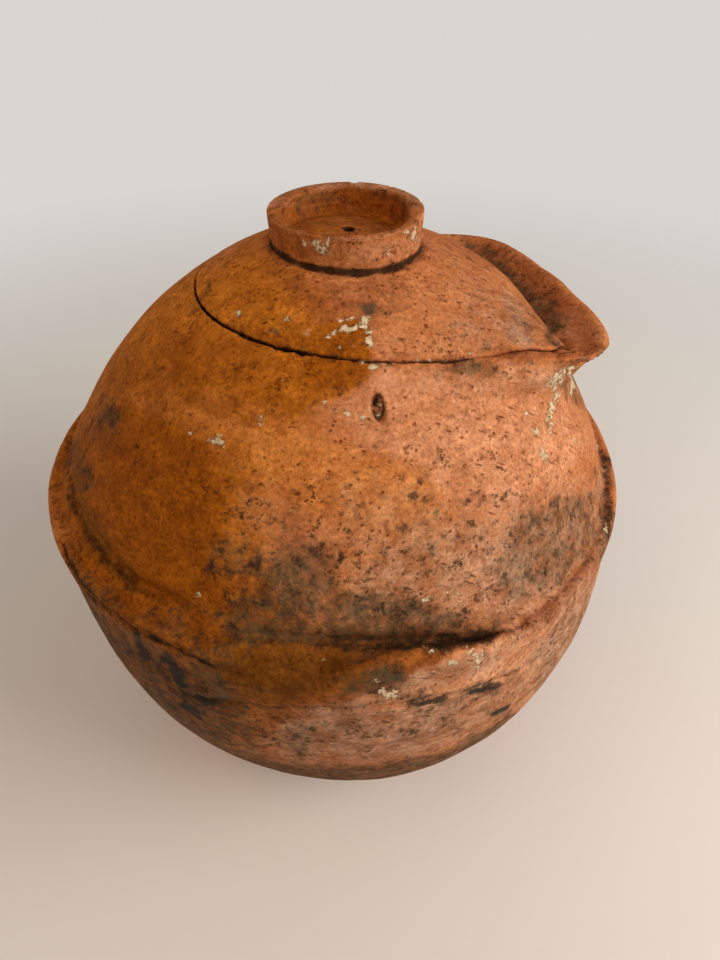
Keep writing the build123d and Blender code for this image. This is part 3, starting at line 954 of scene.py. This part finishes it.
# %% Soot clots
for x, y, wide, high in (
    (378, 445, 10, 12), (352, 472, 14, 10), (370, 475, 26, 12), (402, 468, 12, 14), (437, 460, 10, 12),
    (449, 461, 8, 12), (488, 452, 8, 8), (486, 466, 5, 8), (420, 481, 6, 6), (413, 495, 9, 9),
    (218, 492, 9, 9), (232, 486, 6, 7), (247, 483, 9, 6), (258, 500, 10, 8), (269, 504, 12, 7),
    (292, 494, 9, 4), (241, 515, 6, 9), (227, 527, 11, 5), (272, 521, 14, 12), (340, 514, 12, 10),
    (366, 509, 15, 12), (377, 502, 5, 12), (402, 527, 17, 14), (350, 534, 8, 9), (340, 553, 10, 9),
    (385, 548, 11, 8), (223, 552, 12, 16), (240, 548, 16, 18), (205, 565, 12, 20), (247, 566, 9, 6),
    (214, 575, 18, 18), (251, 585, 7, 5), (232, 592, 13, 12), (340, 582, 14, 18), (362, 582, 18, 9),
    (384, 586, 14, 14), (400, 590, 18, 16), (340, 603, 22, 22), (395, 606, 28, 20), (218, 610, 12, 8),
    (229, 623, 22, 12), (318, 631, 12, 9), (476, 540, 11, 10), (458, 532, 10, 14), (480, 557, 6, 7),
    (436, 538, 20, 30), (420, 560, 14, 12), (430, 575, 16, 14), (455, 570, 12, 22), (508, 578, 22, 36),
    (500, 552, 28, 22), (536, 492, 6, 12), (504, 496, 6, 8), (572, 474, 8, 10), (596, 470, 5, 18),
    (470, 520, 18, 12), (540, 560, 18, 32), (408, 630, 24, 9), (440, 628, 22, 9), (495, 622, 16, 12),
    (206, 454, 8, 7), (114, 424, 8, 9), (138, 446, 5, 4), (85, 470, 6, 9), (86, 484, 6, 12),
    (260, 604, 14, 8), (270, 618, 16, 8), (372, 614, 20, 8), (460, 608, 16, 8), (570, 520, 16, 20),
    (556, 500, 20, 12), (524, 530, 14, 20), (330, 560, 8, 10), (300, 530, 6, 6), (470, 700, 14, 8),
    (500, 660, 8, 6), (330, 735, 20, 6), (270, 735, 16, 10), (410, 730, 24, 8), (440, 720, 20, 8),
):
    spot("soot", x, y, wide * 1.25, high * 1.25, 0.9 - 0.012 * max(wide, high), 0.5)
print("soot clots laid")

# %% Where soot is scattered
patches(
    "sooty",
    (60, 1.0, (200, 480), (260, 460), (340, 430), (460, 440), (540, 480), (540, 560), (520, 600),
     (460, 630), (300, 636), (210, 636)),
    (30, 0.9, (160, 660), (240, 705), (500, 690), (540, 640), (520, 720), (400, 770), (260, 760)),
    (40, 0.6, (190, 300), (370, 345), (372, 400), (330, 440), (200, 420), (160, 360)),
    (40, 0.8, (60, 540), (130, 590), (240, 640), (240, 720), (140, 680), (80, 620)),
    (20, 0.6, (430, 238), (500, 240), (560, 280), (606, 335), (600, 356), (560, 350), (500, 270)),
    (14, 0.6, (266, 205), (300, 184), (400, 184), (424, 206), (420, 250), (370, 268), (270, 246)),
    (30, 0.5, (376, 365), (500, 360), (560, 380), (500, 420), (400, 400)),
)
print("scattered soot laid")

# %% [markdown]
# ## Lime, tints and grime
# Whitewash and hard water left cream crusts, thickest under the lip and on the ring. Olive-brown tints the
# coil at the left and paints the shade on the grip lug's shelf and in its trough. Red-brown tints the lid
# and the lip's band, and paints the shade in the groove at the right and under the lug's crease. Old dirt
# fills every crevice, and the same near-black grime also paints the shade in the folds, under the lip and
# along the foot.

# %% Lime crusts
for x, y, wide, high in (
    (316, 243, 8, 5), (321, 248, 8, 7), (325, 251, 8, 6), (328, 245, 4, 13), (304, 243, 3, 6),
    (415, 236, 8, 13), (406, 232, 7, 4), (388, 252, 2.5, 7), (238, 313, 5, 5), (287, 318, 7, 6),
    (374, 367, 8, 7), (364, 362, 9, 3), (340, 346, 4, 3), (392, 357, 6, 2),
    (404, 358, 5, 2), (418, 360, 6, 2), (430, 361, 4, 2), (444, 361, 6, 2), (471, 352, 3, 5),
    (218, 441, 9, 9), (211, 440, 9, 4), (191, 434, 6, 3), (259, 421, 4, 9), (323, 404, 6, 5),
    (336, 413, 5, 5), (347, 414, 5, 5), (362, 417, 4, 4), (526, 413, 7, 3),
    (536, 431, 7, 6), (541, 452, 5, 9), (545, 458, 4, 9), (571, 388, 3, 14), (606, 528, 4, 8),
    (598, 446, 3, 5), (576, 439, 2.5, 7), (425, 599, 6, 5), (452, 662, 10, 6), (474, 656, 16, 3),
    (478, 663, 4, 9), (470, 650, 10, 3), (434, 651, 20, 2.5), (391, 696, 11, 7), (382, 690, 5, 6),
    (376, 681, 4, 4), (198, 595, 4, 4), (502, 657, 4, 4), (458, 592, 4, 3),
):
    spot("lime", x, y, wide * 1.3, high * 1.3, 0.8, 0.4)
for x, y in ((324, 660), (302, 661), (281, 661), (332, 668), (315, 576), (262, 700), (388, 736), (448, 592)):
    spot("lime", x, y, 2.4, 2.4, 0.9, 0.3)
for route, wide in (
    ([(325, 338), (335, 333), (347, 327)], 2.4),
    ([(344, 331), (356, 327), (366, 321)], 3.2),
    ([(365, 325), (369, 333), (371, 344)], 5),
    ([(340, 322), (352, 319), (368, 318)], 2),
    ([(574, 367), (562, 372), (552, 380), (548, 384)], 4.5),
    ([(556, 376), (553, 386), (557, 395)], 4),
    ([(562, 374), (561, 384)], 3),
    ([(569, 372), (573, 386)], 2.6),
    ([(555, 397), (551, 408), (549, 418)], 4),
    ([(552, 422), (552, 434)], 2.4),
):
    trail("lime", route, wide * 1.3, 0.68)
patches(
    "limy",
    (20, 0.8, (540, 366), (575, 366), (590, 400), (560, 440), (530, 430), (520, 395)),
    (16, 0.5, (300, 322), (372, 320), (378, 350), (340, 350), (310, 344)),
    (24, 0.4, (300, 395), (400, 395), (420, 430), (340, 440)),
    (20, 0.5, (420, 645), (500, 640), (500, 670), (430, 672)),
)
print("lime laid")

# %% Tints of the firing, and painted shade
patches(
    "olive_and_shade",
    # Painted shade on the shelf of the grip lug, which lies in the lug's shadow.
    (44, 0.9, (190, 660), (230, 640), (330, 646), (356, 660), (335, 694), (300, 708), (205, 706)),
    # Painted shade in the trough under the lug's crease.
    (14, 0.6, (215, 628), (330, 634), (440, 638), (510, 630), (480, 648), (400, 654), (300, 652)),
    (14, 0.8, (66, 436), (84, 440), (90, 500), (112, 546), (152, 592), (130, 594), (92, 556), (70, 506)),
    (14, 0.6, (340, 672), (366, 662), (404, 656), (408, 680), (380, 690), (345, 694)),
)
lid_middle = [(300, 296), (372, 300), (372, 330), (310, 326)]
patches(
    "red",
    # Painted shade, in red-brown, in the groove of the coil at the right.
    (9, 0.7, (505, 640), (530, 612), (570, 580), (600, 545), (606, 560), (570, 602), (530, 634)),
    (8, 0.7, (600, 430), (616, 470), (618, 500), (608, 556), (598, 552), (606, 480)),
    (22, 0.45, (430, 236), (500, 240), (550, 275), (606, 335), (604, 352), (560, 340), (520, 290)),
    (12, 0.4, (150, 395), (205, 420), (246, 462), (222, 472), (165, 425)),
    (12, 0.35, (270, 216), (282, 240), (330, 250), (330, 268), (280, 252)),
    # Painted shade, in red-brown, in the trough under the lug's crease.
    (14, 0.5, (320, 640), (420, 632), (500, 636), (420, 662), (330, 664)),
    (10, 0.5, *lid_middle),
    (24, 0.55, *before_ring),
)
trail("red", [(500, 357), (540, 355), (580, 354), (603, 350)], 7, 0.9)
print("tints laid")

# %% Grime on ring, vent and seam
ring_inside = 35.5 * mm
off_ring = np.linalg.norm(lid_marks.points[:, :2] - ring_middle, axis=1)
over_top = lid_marks.points[:, 2] - ring_top
on_dome = 1 - step(distance_to(lid_clay, "lid_dome"), 0.8 * mm, 3.5 * mm)
off_channel = np.abs(off_ring - channel_radius + 0.7 * mm * (1 + lid_marks.fine))
lid_marks.lay("grime_and_shade", (1 - step(off_channel, 0.3 * mm, 2.1 * mm)) * on_dome)
lid_marks.lay("grime_and_shade", bump(off_ring, ring_radius + 1 * mm, 9 * mm) * on_dome, 0.35)
off_vent = np.linalg.norm(lid_marks.points[:, :2] - vent_to[:2], axis=1) - vent_radius
lid_marks.lay("grime_and_shade", 1 - step(off_vent, 0.1 * mm, 1.5 * mm))
# Pale along the ring's outer top edge: wear, and a painted highlight that makes the edge read crisp.
outer_edge = np.hypot(off_ring - ring_radius, over_top + 1 * mm)
lid_marks.lay("pale", 1 - step(outer_edge, 0.6 * mm, 2.2 * mm), 0.7)
# Grime just inside the ring's top edge: dirt, and painted shade below the edge.
inner_edge = np.hypot(off_ring - ring_inside, over_top + 3 * mm)
lid_marks.lay("grime_and_shade", (1 - step(inner_edge, 0.6 * mm, 3 * mm)) * (0.5 + 0.5 * lid_marks.fine), 0.7)
for page, other_nodes in ((pot_marks, ["lid_dome"]), (lid_marks, over_seam)):
    off_seam = distance_to(page.piece, *other_nodes)
    dirtier_left = 1 - 0.5 * step(page.points[:, 0], -60 * mm, 0)
    page.lay("grime_and_shade", (1 - step(off_seam, 0.6 * mm, 1.7 * mm)) * dirtier_left, 0.9)
    clumps = step(waves(page.points, 18 * mm, 1.7), 0.1, 0.4)
    page.lay("sooty", (1 - step(off_seam, 2 * mm, 9 * mm)) * (0.4 + 0.6 * clumps), 0.9)
print("grime round a vent", round(2 * vent_radius / mm, 1), "mm wide")

# %% Grime and painted shade in the folds
for route, wide, strength in (
    # Painted shade in the lug's crease and in the trough below it.
    ([(225, 638), (260, 641), (320, 645), (380, 646), (440, 644), (480, 640), (512, 632)], 6, 0.5),
    ([(330, 649), (400, 648), (450, 645), (490, 640)], 5, 0.35),
    # Painted shade in the groove at the right.
    ([(512, 632), (540, 614), (575, 582), (598, 550)], 4, 0.35),
    # Under the belly coil's undercut: partly a dark crack, partly painted shadow.
    ([(62, 545), (75, 575), (100, 603), (130, 626), (165, 644), (192, 656), (215, 668)], 3.5, 0.8),
    # Painted shade in the coil's groove.
    ([(68, 440), (68, 475), (73, 506), (88, 533), (109, 562), (136, 587), (165, 602)], 8, 0.55),
    # Painted shadow along the foot of the bowl.
    ([(200, 745), (240, 763), (300, 775), (340, 776)], 10, 0.4),
    # Painted shadow under the lip's rim band.
    ([(508, 364), (545, 363), (574, 361)], 3, 0.5),
    ([(556, 353), (580, 353), (600, 348)], 2.5, 0.5),
    ([(180, 692), (205, 698), (250, 704), (300, 708), (350, 708)], 2.5, 0.5),
    ([(267, 212), (276, 221), (300, 231), (330, 236), (372, 237), (404, 229)], 2, 0.4),
    ([(400, 703), (440, 695), (480, 685), (520, 668)], 2.5, 0.5),
):
    trail("grime_and_shade", route, wide, strength)
patches(
    "grime_and_shade",
    # Painted shade in the lug's trough.
    (10, 0.45, (430, 630), (505, 628), (500, 648), (440, 656)),
    (10, 0.2, *lid_middle),
    # Painted shade in the lug's trough.
    (12, 0.3, (320, 628), (480, 630), (500, 645), (400, 656), (330, 654)),
    (8, 0.55, (596, 440), (612, 460), (620, 500), (610, 540), (600, 540), (608, 490), (598, 460)),
    (26, 0.45, (70, 590), (120, 630), (170, 655), (215, 690), (200, 740), (140, 690), (90, 640)),
)
print("grime laid")

# %% Burnt rim of the pit, with painted shadow on its right wall, and its crumbs
pit_half_wide, pit_half_high = 6.8, 14.5
pit_across = pot_marks.points - clay_at(*pit_pixel)[0]
aside, below = (pot_marks.exact - np.array(pit_pixel)).T
from_pit = np.hypot(aside / pit_half_wide, below / pit_half_high)
in_pit = np.linalg.norm(pit_across, axis=1) < 20 * mm
shadow_on_right_wall = 0.5 + 0.5 * step(aside, -4, 4)
crumbs = step(waves(pit_across, 3 * mm, 1.1), 0, 0.3) * (1 - step(from_pit, 0.6, 1.0))
# The dark rim is burnt clay all round, plus painted shadow, twice as dark, on the pit's right wall.
pot_marks.lay("grime_and_shade", bump(from_pit, 0.85, 0.4) * in_pit * shadow_on_right_wall, 0.8)
pot_marks.lay("grime_and_shade", crumbs * in_pit, 0.8)
pot_marks.lay("smoke_and_shade", (1 - step(from_pit, 0.7, 1.1)) * in_pit, 0.75)
pot_marks.lay("pale", bump(from_pit, 1.25, 0.4) * in_pit, 0.7)
spot("lime", 380, 404, 5, 6, 0.8, 0.2)
spot("lime", 378, 414, 5, 6, 0.7, 0.2)
print("pit marked within", int(in_pit.sum()), "points")

# %% [markdown]
# ## The side out of sight
# The far wall stood in the same smoke. Broad noise sets where it is smoked, soaked or sooty there, a
# little weaker than in front. The pot's inside never saw fire, so it keeps its own even, duller colour.

# %% Marks out of sight
for page, seed in zip(pages, (11.0, 23.0)):
    hidden = 1 - page.shown
    over_floor = page.points[:, 2]
    low = 1 - step(over_floor, 30 * mm, 150 * mm)
    left = 1 - step(page.points[:, 0], -150 * mm, 60 * mm)
    smoky = waves(page.points, 95 * mm, seed) + 0.25 * low
    page.lay("amber", hidden * left, 0.9)
    page.lay("smoke_and_shade", hidden * step(smoky, 0.18, 0.6), 0.8)
    for kind, size, offset, starts, full, strength in (
        ("gold", 120, 6, 0.0, 0.3, 0.6),
        ("amber", 150, 3, -0.1, 0.3, 0.6),
        ("soak_and_shade", 110, 5, 0.02, 0.4, 0.7),
        ("pale", 90, 9, 0.1, 0.4, 0.6),
        ("sooty", 70, 2, -0.1, 0.4, 0.9),
        ("soot", 13, 7, 0.4, 0.7, 0.8),
        ("lime", 14, 4, 0.6, 0.7, 0.8),
    ):
        cloud = waves(page.points, size * mm, seed + offset)
        page.lay(kind, hidden * step(cloud, starts, full), strength)
    page.lay("dusty", hidden * low, 0.6)
    # Darkens the clay all round within about 22 mm of the floor.
    page.lay("smoke_and_shade", bump(over_floor, 0.0, 22 * mm), 0.85)
    page.lay("streaks", 1 - step(over_floor, 195 * mm, 240 * mm))

out = pot_marks.points - belly_middle
inward = -(facing_of(pot_clay) * out).sum(axis=1) / np.linalg.norm(out, axis=1)
pot_marks.lay("inside", step(inward, 0.2, 0.5))
lid_marks.lay("inside", step(-facing_of(lid_clay)[:, 2], 0.2, 0.5))
for page in pages:
    page.keep()
print("kinds of marks:", sorted(pot_marks.kinds))

# %% [markdown]
# ## Fired terracotta
# Terracotta is iron-bearing clay fired in the open at 700 to 900 degrees, unglazed and porous. Its
# colour is never one colour: it drifts over a hand's width with the flame, mottles over a centimetre
# with the clay's mixing, and carries dark grit and burnt-out chaff of about a millimetre. It has hardly
# any shine, except where grease soaked in. Each scale below is worked out from one of those sizes.

# %% Start the material
terracotta = bpy.data.materials.new("fired_terracotta")
terracotta.use_nodes = True
tree = terracotta.node_tree
shader = tree.nodes["Principled BSDF"]
shader.inputs["IOR"].default_value = 1.45
shader.inputs["Specular IOR Level"].default_value = 0.08
where = add(tree, "ShaderNodeTexCoord").outputs["Object"]


def per_metre(size_mm):
    """The scale that makes a pattern repeat about every size in millimetres."""
    return 1000.0 / size_mm


def grain(size_mm, detail, roughness, distortion=0.0, vector=where):
    """Noise of a size, from 0 to 1."""
    texture = add(tree, "ShaderNodeTexNoise", {"Vector": vector, "Scale": per_metre(size_mm)})
    for name, value in (("Detail", detail), ("Roughness", roughness), ("Distortion", distortion)):
        texture.inputs[name].default_value = value
    return texture.outputs["Fac"]


def ramp(value, low, high, start=0.0, end=1.0):
    """Stretches a value so that low gives start and high gives end, smoothly."""
    stretched = add(
        tree,
        "ShaderNodeMapRange",
        {"Value": value, "From Min": low, "From Max": high, "To Min": start, "To Max": end},
        interpolation_type="SMOOTHSTEP",
    )
    return stretched.outputs["Result"]


def blend(share, under, over, how="MIX"):
    """Lays one colour over another by a share."""
    mix = add(tree, "ShaderNodeMix", {0: share, 6: under, 7: over}, data_type="RGBA", blend_type=how)
    return mix.outputs[2]


def shade(share, under, red, green, blue):
    """Multiplies a colour by three factors, by a share."""
    return blend(share, under, (red, green, blue, 1.0), "MULTIPLY")


def worked_out(how, first, second):
    """One value from two."""
    return add(tree, "ShaderNodeMath", {0: first, 1: second}, operation=how).outputs["Value"]


def times(first, second):
    """Two values multiplied."""
    return worked_out("MULTIPLY", first, second)


def plus(first, second):
    """Two values added."""
    return worked_out("ADD", first, second)


def greater(first, second):
    """The greater of two values."""
    return worked_out("MAXIMUM", first, second)


def mark(kind):
    """A kind of mark from the page, as a value."""
    return add(tree, "ShaderNodeAttribute", attribute_name=kind).outputs["Fac"]


def tone(light, dark):
    """A colour that mottles between two hex values."""
    return blend(mottle, colour(light), colour(dark))


print("material", terracotta.name)

# %% The clay's own colour
drift_size, mottle_size, fine_size = 80, 12, 2.4
drift = ramp(grain(drift_size, 5, 0.6), 0.36, 0.64)
mottle = ramp(grain(mottle_size, 6, 0.7), 0.36, 0.64)
fine = grain(fine_size, 4, 0.7)
light_grain, dark_grain = ramp(fine, 0.5, 0.68), ramp(fine, 0.5, 0.33)
clay = blend(drift, colour("#C27646"), colour("#CC8452"))
clay = blend(times(mottle, 0.5), clay, colour("#A65C2E"))
print("the clay drifts over", drift_size, "mm, mottles over", mottle_size, "and is grained at", fine_size)

# %% [markdown]
# ## Tints from the page of marks
# A mark on the mesh is as coarse as the mesh, about 2 mm. Noise of 6 mm and finer is added before the mark
# is cut to a share, so its edge breaks up into grains, as a stain in porous clay does. The same noise
# later places dirt and soot, which cling to raised crumbs, and dust, which lies between them.

# %% Amber, gold, pale, red, olive and soaked clay, with painted shade and highlights
blots = grain(6.5, 6, 0.78)
regions = grain(34, 3, 0.6)
ragged = plus(blots, -0.5)


def edge(kind, reach, low, high):
    """A mark whose edge is broken up by the grain of the clay."""
    return ramp(plus(mark(kind), times(ragged, reach)), low, high)


clay = blend(times(edge("amber", 0.8, 0.0, 1.0), 0.92), clay, tone("#D27C1E", "#B26611"))
clay = blend(times(edge("gold", 1.2, 0.1, 1.0), 0.8), clay, tone("#DF9149", "#C17231"))
# Pale also paints highlights on the lug's crest and ledge, the ring's edge and a band on the belly.
pale = times(edge("pale", 1.4, 0.1, 1.0), ramp(regions, 0.35, 0.6, 0.6, 1.0))
clay = blend(times(pale, 0.8), clay, tone("#E8A67C", "#CC8A61"))
clay = blend(times(edge("dusty", 1.6, 0.1, 1.0), 0.78), clay, tone("#C9A084", "#97694B"))
# Red, soaked and olive clay also paint shade: in the lug's crease, trough and shelf, in the groove at the
# right, and on the left of the pot.
clay = blend(times(edge("red", 0.8, 0.1, 1.0), 0.6), clay, colour("#8A4424"))
clay = blend(times(edge("soak_and_shade", 0.7, 0.05, 0.95), 0.84), clay, tone("#A05500", "#834100"))
clay = blend(times(edge("olive_and_shade", 1.2, 0.1, 1.0), 0.7), clay, tone("#6B4512", "#4C2F0B"))
clay = blend(times(mark("inside"), 0.7), clay, colour("#8E5F42"))
clay = shade(light_grain, clay, 1.35, 1.33, 1.3)
clay = shade(dark_grain, clay, 0.72, 0.66, 0.6)
print("tints follow the marks")

# %% [markdown]
# ## Grit, chaff and scraping
# Grit shows as dark grains one or two millimetres wide. Burnt-out chaff leaves short straight lines:
# cells stretched five to one, of which about half, picked at random, are kept. Dirt darkens both, and the
# raised crumbs between them. The wall was wiped round with wet fingers, and the underside scraped, which
# leaves level streaks.

# %% Grit and chaff
grit_apart, grit_reach = 4.2, 0.2


def cells(vector, size_mm):
    """A pattern of cells of about a size."""
    return add(tree, "ShaderNodeTexVoronoi", {"Vector": vector, "Scale": per_metre(size_mm)}, feature="F1")


def chaff(turn, size_mm):
    """Short straight strokes that all lie about one way."""
    laid = add(
        tree,
        "ShaderNodeMapping",
        {"Vector": where, "Rotation": turn, "Scale": (5, 1, 1)},
        vector_type="TEXTURE",
    ).outputs["Vector"]
    straws = cells(laid, size_mm)
    kept = add(tree, "ShaderNodeSeparateColor", {"Color": straws.outputs["Color"]}).outputs["Red"]
    return times(ramp(straws.outputs["Distance"], 0.24, 0.12), ramp(kept, 0.4, 0.45))


grit = ramp(cells(where, grit_apart).outputs["Distance"], grit_reach, 0.08)
grit = times(grit, ramp(regions, 0.5, 0.58))
strokes = greater(chaff((0.2, 0.6, 0.1), 3.6), chaff((0.1, -0.7, -0.6), 4.2))
strokes = times(strokes, ramp(blots, 0.36, 0.52, 0.15, 0.95))
strokes = times(strokes, ramp(mark("soak_and_shade"), 0.0, 1.0, 1.0, 0.35))
specks = greater(times(grit, 0.8), strokes)
clay = shade(specks, clay, 0.4, 0.32, 0.28)
dirty = times(ramp(blots, 0.53, 0.63), ramp(regions, 0.36, 0.6, 0.4, 1.0))
clay = shade(dirty, clay, 0.6, 0.52, 0.46)
print("grit up to", round(2 * grit_apart * grit_reach, 1), "mm wide")

# %% Wiped and scraped streaks
flat = add(tree, "ShaderNodeMapping", {"Vector": where, "Scale": (0.12, 0.12, 1.0)}, vector_type="POINT")
wiped = grain(2.6, 4, 0.7, 0.3, flat.outputs["Vector"])
scraped = times(ramp(wiped, 0.5, 0.66), ramp(times(mark("streaks"), 0.55), 0.0, 1.0, 0.3, 1.0))
scraped = times(scraped, ramp(regions, 0.36, 0.6, 0.35, 0.8))
clay = shade(scraped, clay, 0.55, 0.48, 0.42)
clay = shade(ramp(wiped, 0.47, 0.33), clay, 1.15, 1.14, 1.12)
print("level streaks drawn")

# %% [markdown]
# ## Smoke, soot, lime and dirt
# Smoke is a soft grey veil that lets the clay's mottling through. The same veil also paints shade under the
# belly, in the lug's crease and trough, along the lid's edge on the lip, along the foot and low on the left.
# Soot sits in grains and clots. Lime is an opaque cream crust that stands on the surface, so it also lifts
# the bump. Grime is nearly black, and also paints the shade in folds, under the coil and under the lip.

# %% Smoke and soot
veil = times(edge("smoke_and_shade", 1.6, 0.1, 1.05), ramp(blots, 0.3, 0.62, 0.62, 1.0))
clay = blend(times(veil, 0.86), clay, tone("#574E39", "#352D20"))
licks = times(edge("lick", 1.4, 0.3, 0.8), ramp(fine, 0.3, 0.6, 0.75, 1.0))
clay = blend(times(licks, 0.92), clay, colour("#2B2823"))
clots = edge("soot", 3.0, 0.5, 1.0)
clay = blend(times(clots, 0.7), clay, colour("#36241A"))
scatter = times(times(mark("sooty"), ramp(blots, 0.54, 0.62)), ramp(regions, 0.4, 0.55))
clay = blend(times(scatter, 0.6), clay, colour("#3B2519"))
print("smoke and soot laid over the clay")

# %% Lime, and grime with painted shade
grime_and_shade = edge("grime_and_shade", 1.2, 0.15, 0.95)
clay = blend(times(grime_and_shade, 0.92), clay, colour("#1A100A"))
crumbly = times(times(plus(fine, -0.5), 3.4), ramp(mark("lime"), 0.02, 0.3, 0.5, 1.0))
crust = ramp(plus(plus(mark("lime"), times(ragged, 1.2)), crumbly), 0.42, 0.7)
dust = times(mark("limy"), ramp(blots, 0.42, 0.36))
chalk = greater(crust, times(dust, 0.7))
clay = blend(times(chalk, 0.88), clay, blend(light_grain, colour("#D8C19A"), colour("#F1E4C6")))
tree.links.new(clay, shader.inputs["Base Color"])
dry, soaked, rough_grain = [(value, value, value, 1.0) for value in (0.82, 0.6, 0.9)]
roughness = blend(dark_grain, blend(mark("soak_and_shade"), dry, soaked), rough_grain)
tree.links.new(roughness, shader.inputs["Roughness"])
print("base colour and roughness linked")

# %% [markdown]
# ## The feel of the surface
# Bump is kept in millimetres: the strength is 1 and the distance is the real depth. Grains stand up by
# a tenth or two of a millimetre, grit and chaff marks are pressed in, wiping leaves shallow grooves, and
# lime crusts stand proud.

# %% Bump
height = times(fine, 0.5)
for form, depth in ((blots, 0.9), (specks, -0.3), (wiped, 0.4), (crust, 0.4)):
    height = plus(height, times(form, depth))
relief = add(tree, "ShaderNodeBump", {"Height": height, "Distance": 1.0 * mm, "Strength": 1.0})
tree.links.new(relief.outputs["Normal"], shader.inputs["Normal"])
for piece in (pot_clay, lid_clay):
    piece.data.materials.clear()
    piece.data.materials.append(terracotta)
print("fired terracotta has", len(tree.nodes), "nodes")

# %% [markdown]
# ## Finish
# The two skins take the place of the frame's solids, which are hidden. Each skin rides on the body of
# those nodes, so that the lid lifts off as one.

# %% Finish
for piece, body, slot, nodes in (
    (pot_clay, "pot", "pot_terracotta", pot_nodes),
    (lid_clay, "lid", "lid_terracotta", lid_nodes),
):
    for face in piece.data.polygons:
        face.use_smooth = True
    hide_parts(*nodes)
    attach(piece, body)
